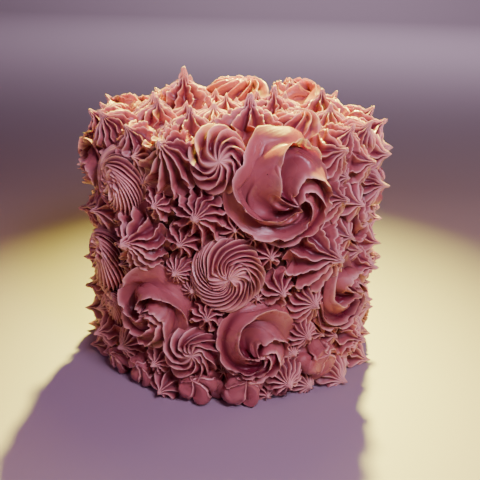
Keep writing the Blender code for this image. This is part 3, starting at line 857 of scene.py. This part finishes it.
# The valley colour is painted shade, the crest colour a painted highlight and sheen, and the bubble colour
# painted shade in the pits.
VALLEY_SHADE_COLOUR = (0.14, 0.012, 0.028, 1)
FLANK_COLOUR = (0.38, 0.110, 0.122, 1)
CREST_HIGHLIGHT_COLOUR = (0.84, 0.460, 0.430, 1)
BUBBLE_SHADE_COLOUR = (0.05, 0.008, 0.01, 1)
# The crumbs belong to the coat itself; the coat is dark partly from them and partly as painted shade in the
# gaps between the pieces.
CRUMB_COLOUR = (0.055, 0.014, 0.012)
COAT_AND_GAP_SHADE_COLOUR = (0.13, 0.035, 0.032)
# Sizes of the patterns, as how often they repeat in a metre.
CLOUDS = 28.0
BLOTCHES = 60.0
SMEARS = 70.0
BUBBLES = 130.0
GRAINS = 1500.0
CRUMBS = 420.0
KNIFE_MARKS = 60.0
# Drag marks run along the ridges, from foot to tip.
DRAG_STRETCH = (9, 9, 1.1)
KNIFE_STRETCH = (1, 1, 6)


def buttercream():
    """Whipped chocolate buttercream: satin, with painted highlights on its thin crests, painted shade in
    valleys and bubble pits, drag marks and bubbles.
    """
    n = Nodes("buttercream")
    place = n.add("ShaderNodeTexCoord").outputs["Object"]
    crest = n.attribute("crest").outputs["Fac"]
    painted_valley_shade = n.attribute("painted_valley_shade").outputs["Fac"]
    strand = n.stretched(n.attribute("strand").outputs["Vector"], DRAG_STRETCH)

    drag = n.noise(strand, 2.0, detail=4.0)
    cloud = n.noise(place, CLOUDS, detail=4.0)
    grain = n.noise(place, GRAINS, detail=2.0)
    uneven = n.maths("MULTIPLY", n.maths("SUBTRACT", cloud, 0.5), 0.5)
    # Painted shade: the valley colour darkens the deep, narrow valleys.
    valley_shade_mix = n.ramp(n.maths("ADD", painted_valley_shade, uneven), (0.4, 0.0), (1.0, 1.0))
    # Painted highlight: the crest colour lightens the crests and, as painted sheen, the ridge faces.
    painted_highlight = n.ramp(n.maths("ADD", crest, uneven), (0.3, 0.0), (1.0, 1.0))
    colour = n.mix(valley_shade_mix, FLANK_COLOUR, VALLEY_SHADE_COLOUR)
    colour = n.mix(painted_highlight, colour, CREST_HIGHLIGHT_COLOUR)
    blotch = n.ramp(n.noise(place, BLOTCHES, detail=5.0), (0.3, 0.86), (0.7, 1.12))
    colour = n.mix(1.0, colour, blotch, "MULTIPLY")

    bubbles = n.add("ShaderNodeTexVoronoi", Vector=place, Scale=BUBBLES)
    hole = n.ramp(bubbles.outputs["Distance"], (0.035, 1.0), (0.06, 0.0))
    rare = n.ramp(bubbles.outputs["Color"], (0.70, 0.0), (0.72, 1.0))
    hole = n.maths("MULTIPLY", hole, rare)
    # Painted shade: the bubble pits are coloured near black.
    colour = n.mix(hole, colour, BUBBLE_SHADE_COLOUR)
    smear = n.ramp(n.noise(place, SMEARS, detail=2.0), (0.36, 0.22), (0.62, 0.56))
    n.shade(
        Base_Color=colour, Roughness=smear, Specular_IOR_Level=0.38, Subsurface_Weight=0.10,
        Subsurface_Radius=(1.0, 0.35, 0.28), Subsurface_Scale=0.0025,
    )

    relief = n.maths("ADD", n.maths("MULTIPLY", drag, 0.6), n.maths("MULTIPLY", grain, 0.12))
    relief = n.maths("SUBTRACT", relief, n.maths("MULTIPLY", hole, 1.2))
    n.bump(relief, 0.75, 0.6 * MM)
    return n.material


def crumb_coat():
    """The thin coat under the piping: the same icing with crumbs, spread with a knife, coloured much darker
    as painted shade in the gaps between the pieces.
    """
    n = Nodes("crumb_coat")
    place = n.add("ShaderNodeTexCoord").outputs["Object"]
    crumbs = n.noise(place, CRUMBS, detail=5.0, roughness=0.7)
    n.shade(
        Base_Color=n.ramp(crumbs, (0.35, CRUMB_COLOUR), (0.7, COAT_AND_GAP_SHADE_COLOUR)),
        Roughness=n.ramp(crumbs, (0.3, 0.5), (0.7, 0.75)),
    )
    knife = n.noise(n.stretched(place, KNIFE_STRETCH), KNIFE_MARKS, detail=4.0)
    n.bump(n.maths("ADD", crumbs, knife), 0.7, 1.2 * MM)
    return n.material


FLOOR_COLOUR = (0.37, 0.30, 0.38, 1)
FLOOR_HALF = 5.0
FLOOR_BANDS = 120
CURVE_START = 3.4
CURVE_RADIUS = 0.9


def pale_floor():
    """A floor that turns up into a backdrop in one wide curve."""
    n = Nodes("pale_floor")
    n.shade(Base_Color=FLOOR_COLOUR, Roughness=0.6)
    bm = bmesh.new()
    bmesh.ops.create_grid(bm, x_segments=2, y_segments=FLOOR_BANDS, size=FLOOR_HALF)
    for vert in bm.verts:
        past = vert.co.y - CURVE_START
        if past > 0:
            turn = min(past / CURVE_RADIUS, math.pi / 2)
            vert.co.z = CURVE_RADIUS * (1 - math.cos(turn)) + max(past - CURVE_RADIUS * math.pi / 2, 0)
            vert.co.y = CURVE_START + CURVE_RADIUS * math.sin(turn)
    mesh = bpy.data.meshes.new("floor")
    bm.to_mesh(mesh)
    bm.free()
    mesh.materials.append(n.material)
    mesh.shade_smooth()
    floor = bpy.data.objects.new("floor", mesh)
    bpy.context.scene.collection.objects.link(floor)


# A warm light from high up behind the cake, in a cone that only just holds the cake.
KEY_PLACE = (0.36, 2.05, 2.40)
KEY_AIM = (0.02, 0.03, 0.09)
KEY_COLOUR = (0.98, 0.95, 0.12)
KEY_WATTS = 5300
KEY_SIZE = 0.13
KEY_CONE = math.radians(6.4)
KEY_BLEND = 0.35
# Soft round lights: where they are, what they are aimed at, size, watts and colour.
SOFT_LIGHTS = {
    "fill_front": ((0.20, -0.48, 0.50), (0, -0.06, 0.12), 0.2, 3.4, (1.03, 0.74, 1.02)),
    "backdrop_light": ((0.5, 1.7, 1.9), (0.4, 4.0, 0.3), 1.4, 75, (0.92, 0.80, 0.86)),
    "warm_above": ((0.02, 0.07, 0.38), (0, 0.02, 0.15), 0.16, 0.8, (1.0, 0.62, 0.04)),
    "fill_left": ((-0.45, -0.42, 0.30), (0, 0, 0.08), 0.3, 0.35, (1.0, 0.42, 0.80)),
    "edge_right": ((0.80, 0.25, 0.25), (0, 0, 0.09), 0.3, 1.8, (1.0, 0.84, 0.62)),
}
AIR_COLOUR = (0.62, 0.26, 0.46, 1)
AIR_STRENGTH = 0.10


def add_light(name, kind, place, aim, watts, colour):
    data = bpy.data.lights.new(name, kind)
    data.energy = watts
    data.color = colour
    light = bpy.data.objects.new(name, data)
    light.location = place
    light.rotation_euler = (Vector(aim) - Vector(place)).to_track_quat("-Z", "Y").to_euler()
    bpy.context.scene.collection.objects.link(light)
    return data


def studio_light():
    """Warm light from behind, dimmer mauve light in front, and a backdrop lit by itself."""
    world = bpy.data.worlds.new("studio")
    world.use_nodes = True
    background = world.node_tree.nodes["Background"]
    background.inputs["Color"].default_value = AIR_COLOUR
    background.inputs["Strength"].default_value = AIR_STRENGTH
    bpy.context.scene.world = world
    key = add_light("key_behind", "SPOT", KEY_PLACE, KEY_AIM, KEY_WATTS, KEY_COLOUR)
    key.shadow_soft_size = KEY_SIZE
    key.spot_size = KEY_CONE
    key.spot_blend = KEY_BLEND
    for name, (place, aim, size, watts, colour) in SOFT_LIGHTS.items():
        soft = add_light(name, "AREA", place, aim, watts, colour)
        soft.shape = "DISK"
        soft.size = size


# The camera's place and turn, fitted to the cake's outline in the photo.
CAMERA_BACK = 0.442
CAMERA_UP = 0.236
CAMERA_PITCH = math.radians(20.7)
CAMERA_YAW = math.radians(-0.62)
CAMERA_ROLL = math.radians(1.6)
CAMERA_LENS = 54.0
SENSOR_WIDTH = 36.0


def camera():
    data = bpy.data.cameras.new("camera")
    data.lens = CAMERA_LENS
    data.sensor_width = SENSOR_WIDTH
    data.sensor_fit = "HORIZONTAL"
    obj = bpy.data.objects.new("camera", data)
    aim = Matrix.Rotation(CAMERA_YAW, 4, "Z") @ Matrix.Rotation(math.pi / 2 - CAMERA_PITCH, 4, "X")
    aim = aim @ Matrix.Rotation(CAMERA_ROLL, 4, "Z")
    obj.matrix_world = Matrix.Translation((0, -CAMERA_BACK, CAMERA_UP)) @ aim
    bpy.context.scene.collection.objects.link(obj)
    bpy.context.scene.camera = obj


def dress_cake():
    """A piece for each solid rosette, and one for each kind of drop on the rim, the side and the top."""
    icing = buttercream()
    cones = {(tip, False): bare_cone(tip, style) for tip, style in TIPS.items()}
    cones.update({(tip, True): bare_cone("fine_" + tip, style) for tip, style in FINE_TIPS.items()})
    pieces = all_pieces()
    counts = {}
    drops = {}
    for piece in pieces:
        cone = cones[piece.tip, piece.fine]
        mesh = piped_mesh(f"{piece.tip}_{piece.number:03d}", piece, pieces, cone)
        if piece.own_solid():
            counts[piece.tip] = counts.get(piece.tip, 0) + 1
            node = f"{piece.tip}_{counts[piece.tip]:02d}"
            add_piece(node + "_icing", mesh, icing, [node])
        else:
            drops.setdefault(f"{piece.zone}_{piece.tip}s", []).append(mesh)
    for name, meshes in drops.items():
        add_piece(name, joined(name, meshes), icing, ["iced_cake"])
    add_piece("crumb_coated_cake", crumb_coated_cake(), crumb_coat(), ["iced_cake"])
    for cone in cones.values():
        bpy.data.meshes.remove(cone)


camera()
dress_cake()
pale_floor()
studio_light()
